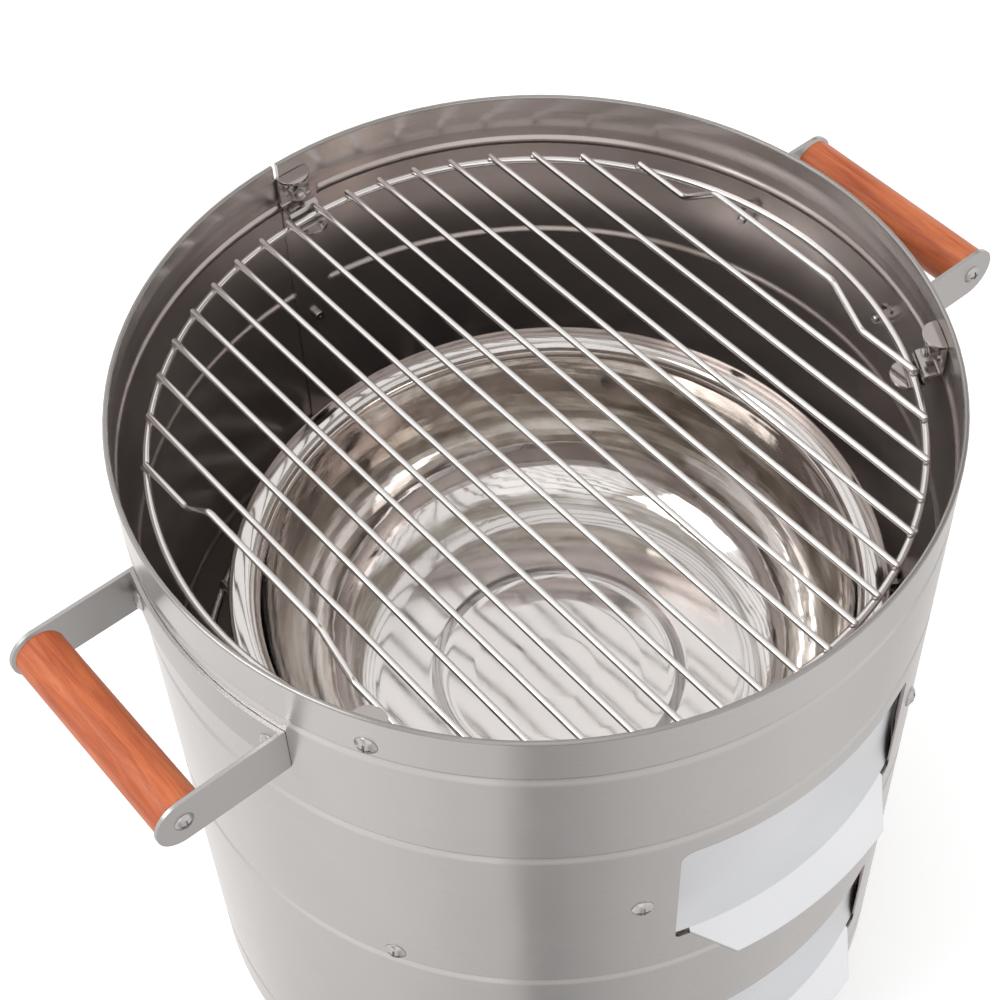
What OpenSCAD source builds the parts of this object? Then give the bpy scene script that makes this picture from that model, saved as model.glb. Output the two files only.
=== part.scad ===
// Barrel charcoal grill: a round stainless drum with a lift-out cooking grate
// and a loose polished fire bowl on a lower grate, two slide-up access doors
// at the front, and a wooden grip on a bent strap at each side.
// Millimetres. Z = 0 is the flat underside of the base pan, the Z axis is the
// drum's axis, the doors face -Y and the handles stand out at +X and -X.

/* [Barrel] */
// Outside diameter of the drum wall
barrel_d = 400; // [396:0.5:404]
// Height from the underside of the base pan to the top of the rim
barrel_h = 421; // [415:1:440]
// Thickness of the rolled wall
wall_t = 1; // [0.8:0.1:1.2]
// Height of the folded hem at the top
hem_h = 10; // [6:0.5:12]
// Thickness of the folded hem
hem_t = 2.6; // [2.2:0.1:2.8]
// Depth of the pressed stiffening beads
bead_depth = 1.4; // [1:0.1:2]
// Width of the pressed stiffening beads
bead_w = 7; // [5:0.5:7]
// Direction of the vertical lap seam, in degrees from +X
seam_az = 91.5; // [91:0.1:92]

/* [Grates] */
// Distance between neighbouring bars of the cooking grate
bar_pitch = 18.42; // [18:0.02:18.6]
// Diameter of the cooking grate's bars
bar_d = 3.4; // [3:0.1:4]
// Mean radius of the cooking grate's ring
ring_r = 184.6; // [182:0.1:184.6]
// Diameter of the cooking grate's ring wire
ring_wire_d = 4; // [3.5:0.5:4]
// How far the middle of the two lift wires is raised
lift_rise = 18; // [12:1:20]
// Distance between neighbouring bars of the lower grate
lower_pitch = 24; // [22:0.5:24.5]
// Diameter of the lower grate's bars
lower_bar_d = 4; // [3:0.5:4]
// Mean radius of the lower grate's ring
lower_ring_r = 182; // [178:0.5:182]
// Diameter of the lower grate's ring wire
lower_ring_wire_d = 5.5; // [4:0.5:5.5]

/* [Fire bowl] */
// Radius of the bowl over its rolled rim
bowl_r = 166.4; // [160:0.2:167]
// How far the loose bowl sits off the drum's axis, X then Y
bowl_shift = [-5, -22]; // [-25:1:25]

/* [Doors] */
// Half width of both door openings
door_half_w = 73.3; // [68:0.1:74]
// Height of the upper opening
upper_door_h = 80; // [70:1:80]
// Height of the lower opening
lower_door_h = 68; // [60:1:68]
// Radius of the corners at the top of the openings
door_corner_r = 7; // [6:1:12]

/* [Handles] */
// Height of the handle strap
strap_h = 28; // [26:1:28]
// Thickness of the handle strap
strap_t = 2; // [1.5:0.5:2]
// Distance from the drum's axis to the grip's axis
grip_x = 246; // [242:1:256]
// Diameter of the wooden grips
grip_d = 25; // [22:0.5:27]
// Length of the wooden grips
grip_len = 113.8; // [113.6:0.1:113.9]

/* [Hidden] */
$fn = 96;

outer_r = barrel_d / 2;
inner_r = outer_r - wall_t;
gap = 0.03;                      // clearance between touching pieces

// Directions are in degrees from +X
back_az = 89;
left_az = back_az + 120;
right_az = back_az + 240;
upper_bolt = 20;                 // clip bolts, measured down from the rim
lower_bolt = 208;
handle_z = barrel_h - 52;
handle_az = 14.6;                // handle bolts, to each side of +X and -X
door_az = 270;
upper_zlo = barrel_h - 192;      // bottom edges of the openings
lower_zlo = barrel_h - 358;
guide_az = 26.5;                 // guide bolts, to each side of door_az
guide_bolt_z = barrel_h - 152;   // only the upper guides are bolted

bolt_d = 5;
hole_d = 5.4;
nut_h = 4;
washer_t = 0.8;

steel = [0.74, 0.74, 0.74];
dark_steel = [0.45, 0.43, 0.42];
bright = [0.88, 0.88, 0.88];
pale = [0.80, 0.83, 0.86];
wood = [0.80, 0.38, 0.20];

// ---- Shared shapes
function unit(v) = v / norm(v);
function normal(a, b) = let (along = unit(b - a)) [-along[1], along[0]];
function mitre(before, after, t) = let (m = unit(before + after)) m * t / (m * before);
// a line moved sideways by t, mitred at each bend
function side(line, t) = let (last = len(line) - 1) [for (i = [0 : last])
  i == 0 ? line[0] + normal(line[0], line[1]) * t :
  i == last ? line[i] + normal(line[i - 1], line[i]) * t :
  line[i] + mitre(normal(line[i - 1], line[i]), normal(line[i], line[i + 1]), t)];
function reversed(line) = [for (i = [len(line) - 1 : -1 : 0]) line[i]];

// 2D strip of constant thickness along a line of points
module strip(line, t) polygon(concat(side(line, t / 2), reversed(side(line, -t / 2))));

// a shape drawn as radius and height, made thick along the tangent
module slab(w) rotate([90, 0, 0]) linear_extrude(height = w, center = true) children();

// a round bar along +X
module radial(r_from, r_to, d, z = 0)
  translate([r_from, 0, z]) rotate([0, 90, 0]) cylinder(d = d, h = r_to - r_from, $fn = 48);

// a cutter through the drum wall at +X
module wall_hole(d, z) radial(outer_r - 8, outer_r + 8, d, z);

// an arc of a drum-concentric band
module band(r_in, r_out, z_low, z_high, az_from, az_to)
  rotate([0, 0, az_from]) rotate_extrude(angle = az_to - az_from, $fn = 180)
    translate([r_in, z_low]) square([r_out - r_in, z_high - z_low]);

// ---- Fasteners, drawn along +X with the head outwards
// a domed head of radius r and height h with a cross slot
module dome_head(r, h) {
  slot_w = 1.2;
  slot_half = r * 0.56;
  slot_x = h * 0.42;
  sphere_r = (r * r + h * h) / (2 * h);
  difference() {
    intersection() {
      translate([h - sphere_r, 0, 0]) rotate([0, 90, 0]) sphere(r = sphere_r, $fn = 64);
      rotate([0, 90, 0]) cylinder(r = r, h = h + 1, $fn = 48);
    }
    translate([slot_x, -slot_w / 2, -slot_half]) cube([h, slot_w, 2 * slot_half]);
    translate([slot_x, -slot_half, -slot_w / 2]) cube([h, 2 * slot_half, slot_w]);
  }
}

module bolt(head_x, end_x, d = bolt_d, head_r = 5.5, head_h = 2.9) {
  tip = 0.6;                     // length and width of the taper at the end
  union() {
    translate([head_x, 0, 0]) dome_head(head_r, head_h);
    radial(end_x + tip, head_x + 0.2, d);
    translate([end_x, 0, 0]) rotate([0, 90, 0])
      cylinder(d1 = d - 2 * tip, d2 = d, h = tip, $fn = 48);
  }
}

// a nut just inside the washer whose inner face is at washer_x
module hex_nut(washer_x) {
  nut_x = washer_x - 0.05 - nut_h;
  difference() {
    translate([nut_x, 0, 0]) rotate([0, 90, 0]) cylinder(r = 4.62, h = nut_h, $fn = 6);
    radial(nut_x - 1, nut_x + nut_h + 1, bolt_d + 0.08);
  }
}

module star_washer(inner_x, tip_r = 5.5)
  difference() {
    translate([inner_x, 0, 0]) rotate([0, 90, 0]) linear_extrude(height = washer_t)
      polygon([for (i = [0 : 23])
        let (r = (i % 2 == 0) ? tip_r : tip_r - 1) [r * cos(i * 15), r * sin(i * 15)]]);
    radial(inner_x - 1, inner_x + washer_t + 1, bolt_d + 0.3);
  }

// ---- Drum
bead_at = [30, 97, 217, 391];    // bead heights, measured down from the rim

// one bead pressed into a wall face of radius r; steps -4 to 4 run upwards
function bead(r, drop, steps) = [for (k = steps)
  [r - bead_depth * (1 + cos(45 * k)) / 2, barrel_h - drop + k * bead_w / 8]];
// part of a rounded hem edge centred at height z, in steps of 22.5 degrees
function hem_arc(z, first, last) = [for (k = [first : last])
  [outer_r - hem_t / 2 + hem_t / 2 * cos(22.5 * k), z + hem_t / 2 * sin(22.5 * k)]];

// up the outside face, over the rim and down the inside face
function wall_outline() = concat(
  hem_arc(hem_t / 2, 12, 16),
  [for (i = [3 : -1 : 0]) each bead(outer_r, bead_at[i], [-4 : 4])],
  hem_arc(barrel_h - hem_t / 2, 0, 8),
  [[outer_r - hem_t, barrel_h - hem_h + 0.6],
   [outer_r - hem_t + 0.5, barrel_h - hem_h],
   [inner_r, barrel_h - hem_h]],
  [for (i = [0 : 3]) each bead(inner_r, bead_at[i], [4 : -1 : -4])],
  [[inner_r, hem_h], [outer_r - hem_t + 0.5, hem_h], [outer_r - hem_t, hem_h - 0.6]],
  hem_arc(hem_t / 2, 8, 11));

// cutter for a door opening, seen from the front
module opening(zlo, h) {
  low_r = 3;                     // radius of the bottom corners
  corner_x = door_half_w - door_corner_r;
  corner_z = zlo + h - door_corner_r;
  translate([0, -150, 0]) rotate([90, 0, 0]) linear_extrude(height = 80) union() {
    translate([-door_half_w, zlo + low_r])
      square([2 * door_half_w, h - low_r - door_corner_r]);
    translate([-door_half_w + low_r, zlo]) square([2 * (door_half_w - low_r), low_r + 1]);
    translate([-corner_x, corner_z - 1]) square([2 * corner_x, door_corner_r + 1]);
    for (s = [-1, 1]) {
      translate([s * corner_x, corner_z]) circle(r = door_corner_r, $fn = 64);
      translate([s * (door_half_w - low_r), zlo + low_r]) circle(r = low_r, $fn = 32);
    }
  }
}

// the beads stop short of the lap on both sides
flat_from = seam_az - 6.4;
flat_to = seam_az - 0.9;
flat_cut = 3.9;                  // half heights of the bead cut and its flat patch
flat_patch = 4.2;
rivet_az = seam_az - 3.8;
rivet_z = [barrel_h - 117, barrel_h - 305];
notch_w = 2.8;                   // round-bottomed notch in the rim at the seam
notch_z = barrel_h - 9;

module barrel_shell() color(steel) difference() {
  union() {
    difference() {
      rotate_extrude($fn = 180) polygon(wall_outline());
      for (drop = bead_at)
        band(outer_r - 8, outer_r + 2, barrel_h - drop - flat_cut, barrel_h - drop + flat_cut,
          flat_from, flat_to);
    }
    // lap layer inside the wall
    band(outer_r - 2.05, inner_r + 0.4, hem_h - 1, barrel_h - 9, seam_az - 7, seam_az - 0.3);
    for (drop = bead_at)
      band(outer_r - 1.4, outer_r - 0.03,
        barrel_h - drop - flat_patch, barrel_h - drop + flat_patch,
        flat_from - 0.2, flat_to + 0.2);
  }
  opening(upper_zlo, upper_door_h);
  opening(lower_zlo, lower_door_h);
  rotate([0, 0, seam_az]) {
    translate([outer_r - 8, -notch_w / 2, notch_z]) cube([16, notch_w, 12]);
    wall_hole(notch_w, notch_z);
  }
  for (az = [back_az, left_az, right_az], drop = [upper_bolt, lower_bolt])
    rotate([0, 0, az]) wall_hole(hole_d, barrel_h - drop);
  for (turn = [0, 180], s = [-1, 1])
    rotate([0, 0, turn + s * handle_az]) wall_hole(hole_d, handle_z);
  for (s = [-1, 1]) rotate([0, 0, door_az + s * guide_az]) wall_hole(hole_d, guide_bolt_z);
  for (z = rivet_z) rotate([0, 0, rivet_az]) wall_hole(4.2, z);
}

pan_r = outer_r - 2.9;
pan_h = 12;
pan_t = 1;
module base_pan() color(steel) rotate_extrude($fn = 180)
  polygon([[0, 0], [pan_r - 1.4, 0], [pan_r - 0.5, 0.35], [pan_r, 1.2], [pan_r, pan_h],
    [pan_r - pan_t, pan_h], [pan_r - pan_t, 1.5], [pan_r - 1.4, pan_t], [0, pan_t]]);

// columns: radius from the rivet's axis, distance outwards from the drum's outer face
rivet_profile = [
  [0, -3.4], [1.1, -3.8], [1.1, -5.6], [2.6, -5.6], [3, -5.2], [3, -2.1], [2, -2.1],
  [2, 0.03], [4, 0.03], [3.9, 0.5], [3.5, 1], [2.8, 1.4], [1.6, 1.7], [0, 1.8]];
module seam_rivets() color(steel) for (z = rivet_z)
  rotate([0, 0, rivet_az]) translate([outer_r, 0, z])
    rotate([0, 90, 0]) rotate_extrude($fn = 64) polygon(rivet_profile);

// ---- Grate clips: a strap bolted to the wall, folded inwards over the ring and back under it
clip_w = 18;
clip_t = 1.5;
clip_r = outer_r - 1.6;          // the strap stands clear of the hem, the lap seam and the beads
clip_lip_z = -14.77;             // mid-thickness of the lip under the ring
// centre line of the strap; columns: distance outwards from clip_r, height above the bolt
clip_line = [
  [-2.15, 10.75], [-2.15, -6.2], [-3.0, -7.3], [-7.4, -7.9], [-9.4, -8.5], [-10.2, -10.0],
  [-9.5, -11.7], [-8.0, -12.6], [-7.7, -13.6], [-8.5, clip_lip_z], [-15.2, clip_lip_z]];
clip_washer_r = clip_r - 3.76;

// a level tab with a round inner end centred at centre_x, cut straight at edge_x
module clip_tab(z, centre_x, edge_x)
  translate([0, 0, z]) linear_extrude(height = clip_t) intersection() {
    translate([centre_x, 0]) circle(r = clip_w / 2, $fn = 64);
    translate([edge_x - 20, -10]) square([20, 20]);
  }
module clip(az, drop)
  rotate([0, 0, az]) translate([clip_r, 0, barrel_h - drop]) difference() {
    union() {
      slab(clip_w) strip(clip_line, clip_t);
      clip_tab(10, -2.2, -1.4);
      clip_tab(clip_lip_z - clip_t / 2, -14.9, -14);
    }
    radial(-8, 4, hole_d);
  }
module grate_clip_back() color(steel) clip(back_az, upper_bolt);
module grate_clip_left() color(steel) clip(left_az, upper_bolt);
module grate_clip_right() color(steel) clip(right_az, upper_bolt);
module lower_clip_back() color(steel) clip(back_az, lower_bolt);
module lower_clip_left() color(steel) clip(left_az, lower_bolt);
module lower_clip_right() color(steel) clip(right_az, lower_bolt);

module at_clip_bolts() for (az = [back_az, left_az, right_az], drop = [upper_bolt, lower_bolt])
  rotate([0, 0, az]) translate([0, 0, barrel_h - drop]) children();
module clip_screws() color(steel) at_clip_bolts() bolt(outer_r + gap, clip_r - 10.33);
module clip_star_washers() color(steel) at_clip_bolts() star_washer(clip_washer_r);
module clip_nuts() color(steel) at_clip_bolts() hex_nut(clip_washer_r);

// ---- Side handles, drawn at +X and turned into place
arm_y = grip_len / 2 + 0.1;      // inner face of each arm
strap_r = outer_r + 0.12;        // inner face of the strap
handle_washer_r = outer_r - 1.92;

module bracket(turn) rotate([0, 0, turn]) difference() {
  union() {
    band(strap_r, strap_r + strap_t, handle_z - strap_h / 2, handle_z + strap_h / 2,
      -16.7, 16.7);
    for (s = [-1, 1]) difference() {
      translate([0, s * (arm_y + strap_t / 2), handle_z]) slab(strap_t) union() {
        translate([outer_r - 14, -strap_h / 2]) square([grip_x - outer_r + 14, strap_h]);
        translate([grip_x, 0]) circle(r = strap_h / 2, $fn = 64);
      }
      cylinder(r = strap_r, h = 2 * barrel_h, $fn = 180);
    }
  }
  for (s = [-1, 1]) {
    rotate([0, 0, s * handle_az]) radial(outer_r - 4, outer_r + 6, hole_d, handle_z);
    translate([grip_x, s * (arm_y - 1), handle_z]) rotate([-90 * s, 0, 0])
      cylinder(d = 4.4, h = 6, $fn = 48);
  }
}

// a grip with rounded end edges and a blind screw bore in each end
module grip(turn) {
  grip_r = grip_d / 2;
  half = grip_len / 2;
  bore = 24;
  rotate([0, 0, turn]) translate([grip_x, 0, handle_z]) rotate([-90, 0, 0]) difference() {
    rotate_extrude($fn = 96) polygon([
      [0, -half], [grip_r - 1, -half], [grip_r - 0.3, -half + 0.4], [grip_r, -half + 1.2],
      [grip_r, half - 1.2], [grip_r - 0.3, half - 0.4], [grip_r - 1, half], [0, half]]);
    for (s = [-1, 1])
      translate([0, 0, s > 0 ? half - bore : -half - 1])
        cylinder(d = 4.1, h = bore + 1, $fn = 48);
  }
}
module grip_screws(turn) rotate([0, 0, turn]) for (s = [-1, 1])
  translate([grip_x, s * (arm_y + strap_t + gap), handle_z]) rotate([0, 0, 90 * s])
    bolt(0, -24.5, d = 4, head_r = 5, head_h = 2.6);

module handle_bracket_left() color(dark_steel) bracket(180);
module handle_bracket_right() color(dark_steel) bracket(0);
module handle_grip_left() color(wood) grip(180);
module handle_grip_right() color(wood) grip(0);
module grip_screws_left() color(steel) grip_screws(180);
module grip_screws_right() color(steel) grip_screws(0);

module at_handle_bolts() for (turn = [0, 180], s = [-1, 1])
  rotate([0, 0, turn + s * handle_az]) translate([0, 0, handle_z]) children();
module handle_bolts() color(steel)
  at_handle_bolts() bolt(strap_r + strap_t + gap, outer_r - 9.3);
module handle_star_washers() color(steel) at_handle_bolts() star_washer(handle_washer_r, 6.2);
module handle_nuts() color(steel) at_handle_bolts() hex_nut(handle_washer_r);

// ---- Door guides: an offset strip behind each side of an opening that holds the door's edge
guide_t = 1.2;
guide_out = outer_r - 1.25;      // outer face of the flange on the wall
guide_in = outer_r - 8.7;        // inner face of the lip behind the door
guide_over = 9;                  // height above the opening
guide_washer_r = outer_r - 3.33;

// s is -1 for the left guide and 1 for the right
module guide(zlo, h, s) {
  top = zlo + h + guide_over;
  rotate([0, 0, door_az]) mirror([0, s < 0 ? 1 : 0, 0]) difference() {
    union() {
      band(guide_out - guide_t, guide_out, zlo, top, 24.35, 28.3);
      band(guide_in, guide_out, zlo, top, 24.3, 24.65);
      band(guide_in, guide_in + guide_t, zlo, top, 22.3, 24.5);
    }
    rotate([0, 0, guide_az]) radial(outer_r - 6, outer_r + 6, hole_d, guide_bolt_z);
  }
}
module upper_door_guide_left() color(steel) guide(upper_zlo, upper_door_h, -1);
module upper_door_guide_right() color(steel) guide(upper_zlo, upper_door_h, 1);
module lower_door_guide_left() color(steel) guide(lower_zlo, lower_door_h, -1);
module lower_door_guide_right() color(steel) guide(lower_zlo, lower_door_h, 1);

module at_guide_bolts() for (s = [-1, 1])
  rotate([0, 0, door_az + s * guide_az]) translate([0, 0, guide_bolt_z]) children();
module guide_screws() color(steel) at_guide_bolts() bolt(outer_r + gap, outer_r - 9.6);
module guide_star_washers() color(steel) at_guide_bolts() star_washer(guide_washer_r, 6);
module guide_nuts() color(steel) at_guide_bolts() hex_nut(guide_washer_r);

// ---- Slide-up doors: a curved panel behind the wall with a flared pull lip through the opening
door_t = 1;
panel_az = 23.6;                 // half angles of the panel and the pull lip
lip_az = 19.3;
door_over = 8;                   // height of the panel above the opening
edge_z = 27;                     // bottom of the inward side edges, above the opening's bottom
// centre lines; columns: distance outwards from the drum's outer face,
// height above the opening's bottom
panel_foot = [[-1.82, 3.1], [-2.58, 8], [-3.3, 14], [-3.83, 20], [-4.15, 26], [-4.3, 32]];
lip_line = [[-2.12, 5], [-1.8, 3.2], [2, -1.1], [5.8, -5.3], [9.3, -9.0], [12.5, -12.2]];

module door_sheet(half_az, line, zlo)
  rotate([0, 0, -half_az]) rotate_extrude(angle = 2 * half_az, $fn = 180)
    strip([for (p = line) [outer_r, zlo] + p], door_t);
module door(zlo, h) rotate([0, 0, door_az]) difference() {
  union() {
    door_sheet(panel_az, concat(panel_foot, [[-4.3, h + door_over]]), zlo);
    for (s = [-1, 1]) rotate([0, 0, s * panel_az])
      translate([outer_r - 6.2, -door_t / 2, zlo + edge_z])
        cube([2.3, door_t, h + door_over - edge_z]);
    door_sheet(lip_az, lip_line, zlo);
  }
  // slanted cuts that narrow the lip towards its free edge
  for (s = [-1, 1]) mirror([0, s < 0 ? 1 : 0, 0])
    translate([outer_r * cos(lip_az), outer_r * sin(lip_az), zlo - 30])
      rotate([0, 0, -41]) cube([40, 40, 60]);
}
module upper_door() color(pale) door(upper_zlo, upper_door_h);
module lower_door() color(pale) door(lower_zlo, lower_door_h);

// ---- Grates: straight bars laid across a ring
bar_count = 16;
lower_bar_count = 14;
// the ring's underside lies 13.95 below the bolts of its clips
function ring_height(drop, wire_d) = barrel_h - drop - 13.95 + wire_d / 2;
function bar_height(z, wire_d, d) = z + wire_d / 2 + gap + d / 2;
// half the length of a bar whose outer corners end 1.5 mm outside the ring's centre line
function half_chord(x, r, d) = sqrt(pow(r + 1.5, 2) - pow(abs(x) + d / 2, 2));

module ring(z, r, d)
  translate([0, 0, z]) rotate_extrude($fn = 180) translate([r, 0]) circle(d = d, $fn = 32);
module bar(x, z, r, d) translate([x, -half_chord(x, r, d), z]) rotate([-90, 0, 0])
  cylinder(d = d, h = 2 * half_chord(x, r, d), $fn = 32);
module bars(count, pitch, z, r, d)
  for (i = [0 : count - 1]) bar((i - (count - 1) / 2) * pitch, z, r, d);

// ---- Cooking grate, in the upper clips, with a raised lift wire at each side
ring_z = ring_height(upper_bolt, ring_wire_d);
bar_z = bar_height(ring_z, ring_wire_d, bar_d);
lift_x = (bar_count + 1) / 2 * bar_pitch;
lift_foot_y = 63;                // where the slopes start and end
lift_top_y = 41;

module rod(from, to) {
  along = to - from;
  length = norm(along);
  translate(from) rotate([0, acos(along[2] / length), atan2(along[1], along[0])])
    cylinder(d = bar_d, h = length, $fn = 32);
}
// straight lengths joined by a small round knuckle at each bend
module lift_wire(x) {
  end_y = half_chord(x, ring_r, bar_d);
  line = [
    [x, -end_y, 0], [x, -lift_foot_y, 0], [x, -lift_top_y, lift_rise],
    [x, lift_top_y, lift_rise], [x, lift_foot_y, 0], [x, end_y, 0]];
  translate([0, 0, bar_z]) union() {
    for (i = [0 : 4]) rod(line[i], line[i + 1]);
    for (i = [1 : 4]) translate(line[i]) sphere(d = bar_d + 0.5, $fn = 32);
  }
}
module grate_ring() color(bright) ring(ring_z, ring_r, ring_wire_d);
module grate_bars() color(bright) bars(bar_count, bar_pitch, bar_z, ring_r, bar_d);
module grate_lift_wire_left() color(bright) lift_wire(-lift_x);
module grate_lift_wire_right() color(bright) lift_wire(lift_x);

// ---- Lower grate, in the lower clips
lower_ring_z = ring_height(lower_bolt, lower_ring_wire_d);
lower_bar_z = bar_height(lower_ring_z, lower_ring_wire_d, lower_bar_d);
module lower_grate_ring() color(dark_steel)
  ring(lower_ring_z, lower_ring_r, lower_ring_wire_d);
module lower_grate_bars() color(dark_steel)
  bars(lower_bar_count, lower_pitch, lower_bar_z, lower_ring_r, lower_bar_d);

// ---- Fire bowl, standing on the lower grate
bowl_z = lower_bar_z + lower_bar_d / 2 + gap;
// centre line of the sheet; columns: radius, height above bowl_z
bowl_floor = [
  [0, 1.4], [20, 1.4], [45, 1.0], [61, 0.4], [63.6, 0.4], [64.6, 1.2], [65.8, 1.5],
  [67.0, 1.2], [68, 0.4], [96, 0.4]];
bowl_side = [for (turn = [6 : 6 : 90]) [97 + 54 * sin(turn), 84 - 83.6 * cos(turn)]];
bowl_rim = [
  [151.3, 86.4], [154.4, 88.6], [155.2, 91.6], [156.4, 92.7], [bowl_r - 1.9, 93.3],
  [bowl_r - 0.7, 92.5], [bowl_r - 0.4, 91.0], [bowl_r - 1.2, 89.4]];
module fire_bowl() color(bright) translate([bowl_shift[0], bowl_shift[1], bowl_z])
  rotate_extrude($fn = 180) strip(concat(bowl_floor, bowl_side, bowl_rim), 0.8);

barrel_shell();
base_pan();
seam_rivets();
grate_clip_back();
grate_clip_left();
grate_clip_right();
lower_clip_back();
lower_clip_left();
lower_clip_right();
clip_screws();
clip_star_washers();
clip_nuts();
handle_bracket_left();
handle_bracket_right();
handle_grip_left();
handle_grip_right();
grip_screws_left();
grip_screws_right();
handle_bolts();
handle_star_washers();
handle_nuts();
upper_door_guide_left();
upper_door_guide_right();
lower_door_guide_left();
lower_door_guide_right();
guide_screws();
guide_star_washers();
guide_nuts();
upper_door();
lower_door();
grate_ring();
grate_bars();
grate_lift_wire_left();
grate_lift_wire_right();
lower_grate_ring();
lower_grate_bars();
fire_bowl();
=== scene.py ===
# A drum barbecue in metres: the drum's axis is Z, its base is near z = 0 and its open rim on top.
# The wire grates and the fire bowl are built here; the other CAD pieces only get materials.
# Then come a pale floor, a studio world, two soft lights and a camera looking down towards +X +Y.
import bpy, bmesh, math
from collections import namedtuple
import numpy as np
from mathutils import Vector, Matrix, noise

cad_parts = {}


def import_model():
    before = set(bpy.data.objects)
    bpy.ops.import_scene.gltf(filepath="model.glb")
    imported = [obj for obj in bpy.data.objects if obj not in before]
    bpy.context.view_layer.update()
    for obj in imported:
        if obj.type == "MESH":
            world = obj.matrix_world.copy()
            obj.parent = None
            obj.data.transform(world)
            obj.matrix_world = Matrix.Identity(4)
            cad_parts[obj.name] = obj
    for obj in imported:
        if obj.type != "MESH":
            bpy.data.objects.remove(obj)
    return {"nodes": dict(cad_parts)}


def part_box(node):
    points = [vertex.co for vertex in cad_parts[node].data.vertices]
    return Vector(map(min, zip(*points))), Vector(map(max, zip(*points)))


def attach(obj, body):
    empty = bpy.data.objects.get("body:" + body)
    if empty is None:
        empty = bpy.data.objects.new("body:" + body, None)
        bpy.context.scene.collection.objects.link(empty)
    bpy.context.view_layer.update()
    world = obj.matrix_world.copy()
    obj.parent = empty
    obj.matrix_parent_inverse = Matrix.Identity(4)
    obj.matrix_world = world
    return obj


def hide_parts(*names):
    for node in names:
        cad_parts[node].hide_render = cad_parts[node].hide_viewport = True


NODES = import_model()["nodes"]
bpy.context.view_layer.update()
scene = bpy.context.scene

# ---------------------------------------------------------------- drum sizes
DRUM_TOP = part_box("barrel_shell")[1]
RIM_Z = DRUM_TOP.z
# the round nominal radius, unless the piece is clearly another size
DRUM_R = 0.2 if abs(DRUM_TOP.x - 0.2) < 0.002 else DRUM_TOP.x
BEAD_HEIGHTS = [RIM_Z - drop for drop in (0.030, 0.097, 0.217, 0.391)]
BEAD_DEPTH = 0.0010
BEAD_WIDTH = 0.007
SEAM_AZIMUTH = math.radians(87.85)      # the lap seam of the wall
EDGE_BAND = 0.0016                      # top and bottom edges, left out of the smooth wall


def lerp(a, b, t):
    return a + (b - a) * t


# ---------------------------------------------------------------- node helpers
class Value:
    """An output socket that takes arithmetic: each operator adds one Math node."""

    def __init__(self, graph, socket):
        self.graph = graph
        self.socket = socket

    def math(self, operation, other=None):
        inputs = {0: self} if other is None else {0: self, 1: other}
        return self.graph.add("Math", inputs, operation=operation)

    def __add__(self, other):
        return self.math("ADD", other)

    def __sub__(self, other):
        return self.math("SUBTRACT", other)

    def __mul__(self, other):
        return self.math("MULTIPLY", other)

    def __truediv__(self, other):
        return self.math("DIVIDE", other)

    def __lt__(self, other):
        return self.math("LESS_THAN", other)

    def __gt__(self, other):
        return self.math("GREATER_THAN", other)

    def __abs__(self):
        return self.math("ABSOLUTE")

    def remap(self, between, to=(0.0, 1.0), interpolation="LINEAR"):
        """Carry one range to another, held at both ends."""
        inputs = {"Value": self, "From Min": between[0], "From Max": between[1],
                  "To Min": to[0], "To Max": to[1]}
        return self.graph.add("MapRange", inputs, "Result", interpolation_type=interpolation)

    def fade(self, between, to=(0.0, 1.0)):
        """A remap that eases in and out."""
        return self.remap(between, to, "SMOOTHSTEP")


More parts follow.
